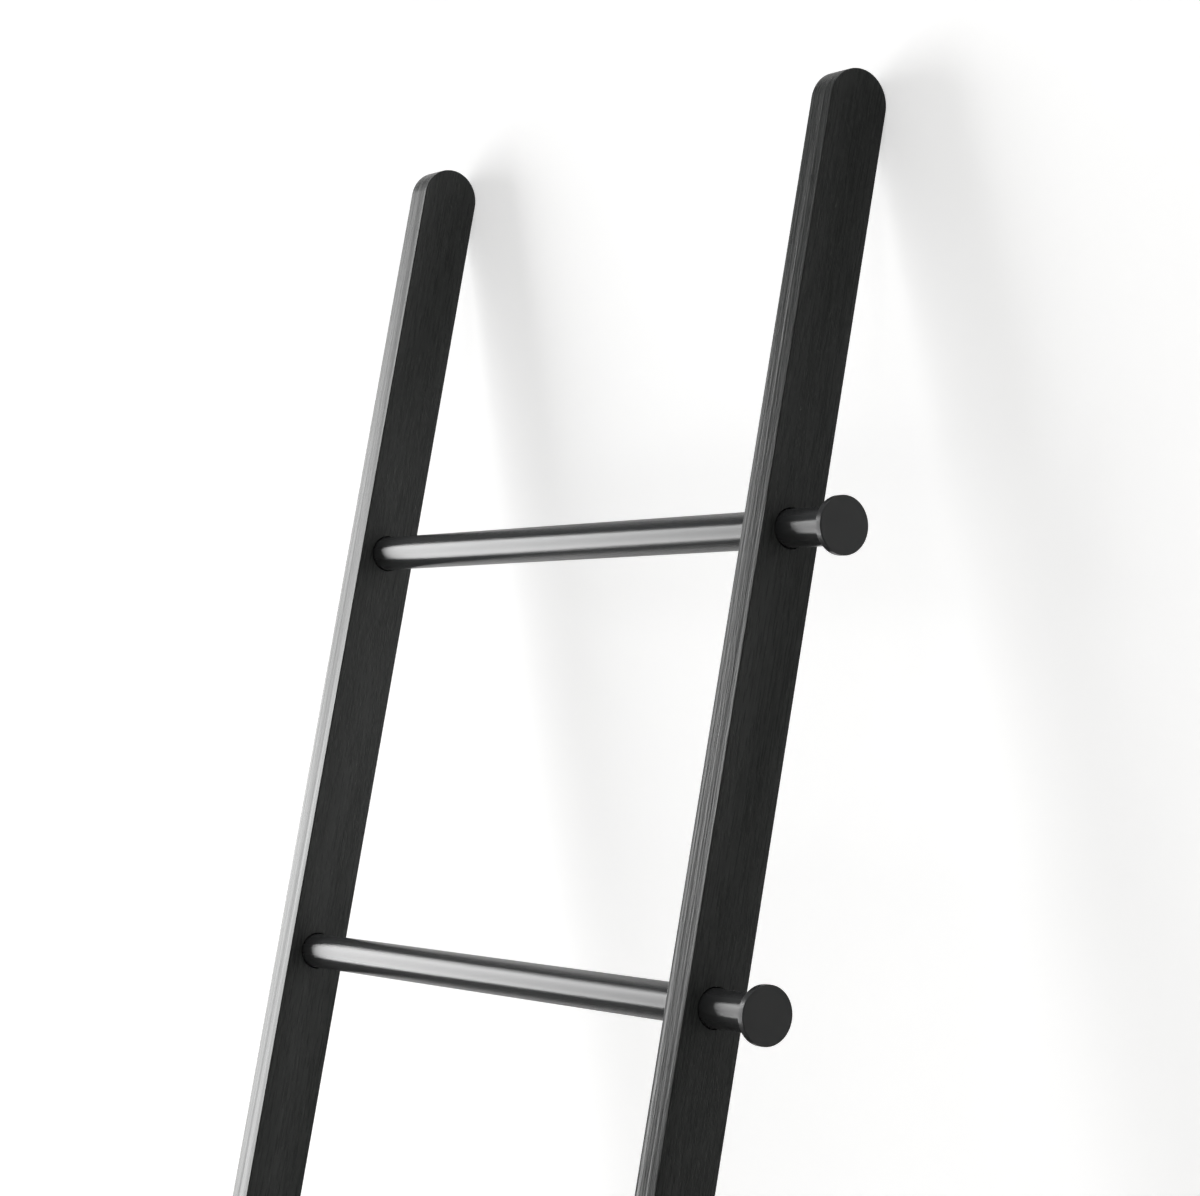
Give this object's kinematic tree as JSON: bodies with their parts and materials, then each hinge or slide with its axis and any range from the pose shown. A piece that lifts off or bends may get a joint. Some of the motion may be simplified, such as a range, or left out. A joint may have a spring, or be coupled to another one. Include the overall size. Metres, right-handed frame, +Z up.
{
  "type": "leaning towel ladder",
  "caption": "Leaning towel ladder: flat round-topped wooden rails and round metal rungs; one rail slides along the rungs to set the width, and capped rung ends serve as pegs.",
  "frame": {"origin": "on the floor, at the middle of the ladder's box in X and Y", "axes": "+X along the rungs from the fixed rail to the sliding rail and the pegs, +Y towards the wall, +Z up"},
  "size_m": [0.5976, 0.3502, 1.5193],
  "materials": {
    "rail_wood": "black-stained, satin, fine lengthwise grain",
    "rung_metal": "satin black powder coat",
    "black_bolt": "black oxide, satin",
    "black_rubber": "matt black"
  },
  "bodies": {
    "frame": {"left_rail": "rail_wood", "left_foot": "black_rubber", "bottom_rung": "rung_metal", "bottom_tie_bolt": "black_bolt", "bottom_peg_cap": "rung_metal", "lower_rung": "rung_metal", "lower_tie_bolt": "black_bolt", "lower_peg_cap": "rung_metal", "upper_rung": "rung_metal", "upper_tie_bolt": "black_bolt", "upper_peg_cap": "rung_metal", "top_rung": "rung_metal", "top_tie_bolt": "black_bolt", "top_peg_cap": "rung_metal"},
    "sliding_rail": {"right_rail": "rail_wood", "right_foot": "black_rubber", "bottom_grip_bush": "black_rubber", "lower_grip_bush": "black_rubber", "upper_grip_bush": "black_rubber", "top_grip_bush": "black_rubber"}
  },
  "joints": [
    {"name": "width_slide", "type": "slide", "parent": "frame", "child": "sliding_rail", "axis": [1, 0, 0], "range_m": [-0.136, 0.0502]}
  ]
}
